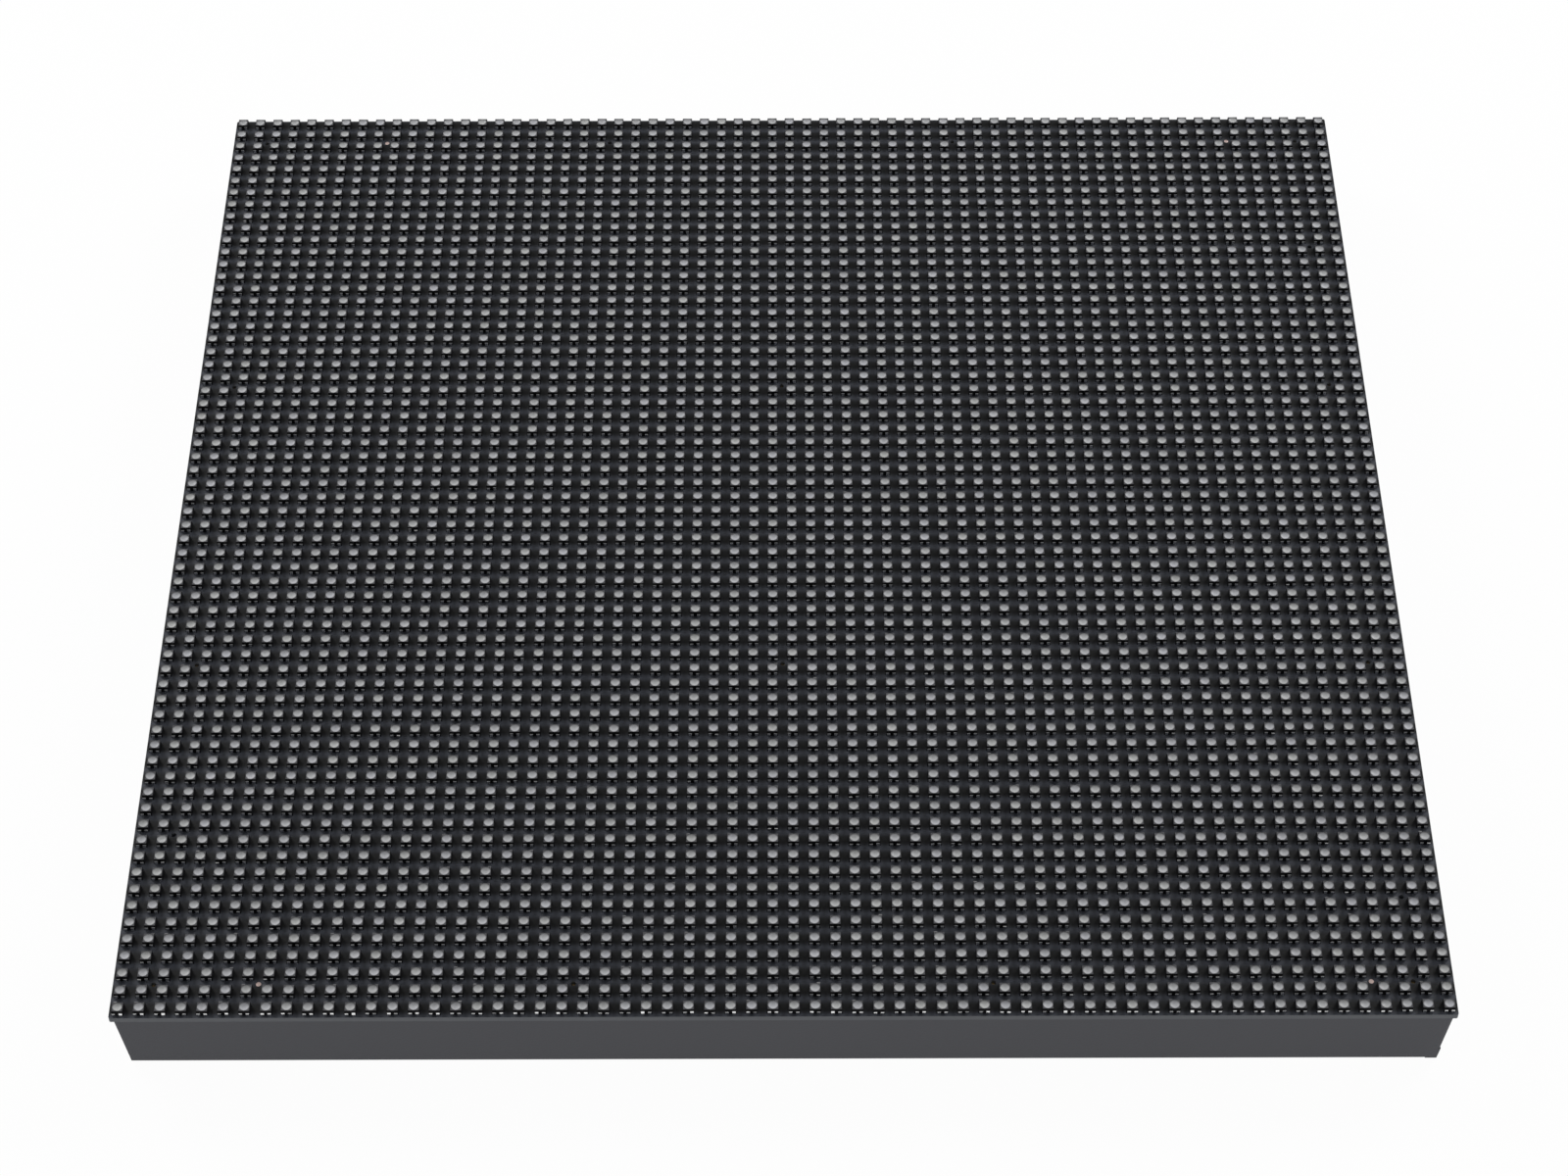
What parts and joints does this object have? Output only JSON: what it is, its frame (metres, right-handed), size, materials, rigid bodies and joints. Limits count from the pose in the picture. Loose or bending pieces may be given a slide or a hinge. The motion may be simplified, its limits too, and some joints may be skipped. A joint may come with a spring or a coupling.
{
  "type": "rgb led matrix panel",
  "caption": "Square full-colour LED matrix module: surface-mount LEDs in a square grid on a black board, on a moulded lattice frame with data and power headers behind.",
  "frame": {"origin": "centre of the plane of the frame's rear rim, below the middle of the light field", "axes": "+Z out of the LED face, +X to the right along the LED rows as seen from the front, +Y towards the upper edge of the picture"},
  "size_m": [0.2554, 0.2554, 0.0185],
  "materials": {
    "frame_plastic": "fine moulded texture, grey-black",
    "board": "matt black solder mask over glass laminate",
    "led_body": "matt black epoxy housing",
    "led_window": "matt grey diffusing resin",
    "led_lead": "tinned lead with solder",
    "bare_copper": "dull bare copper",
    "brass": "turned brass",
    "screw_steel": "dark zinc",
    "chip_epoxy": "matt moulding compound",
    "chip_lead": "tinned lead",
    "capacitor_ceramic": "tan ceramic with tinned ends",
    "resistor_black": "black glaze with tinned ends",
    "header_black": "glass-filled black plastic",
    "pin_gold": "gold flash",
    "pin_tin": "bright tin",
    "power_white": "natural nylon",
    "can_aluminium": "brushed can"
  },
  "bodies": {
    "root": {"rear_frame": "frame_plastic", "circuit_board": "board", "led_rows": "led_body", "solder_spacers": "brass", "frame_screws": "screw_steel", "mount_inserts": "brass", "driver_chips": "chip_epoxy", "row_driver_chips": "chip_epoxy", "buffer_chips": "chip_epoxy", "chip_capacitors": "capacitor_ceramic", "chip_resistors": "resistor_black", "resistor_arrays": "resistor_black", "input_header_shroud": "header_black", "input_header_pins": "pin_gold", "output_header_shroud": "header_black", "output_header_pins": "pin_gold", "power_header_body": "power_white", "power_header_pins": "pin_tin", "capacitor_bases": "header_black", "capacitor_cans": "can_aluminium"}
  },
  "joints": []
}
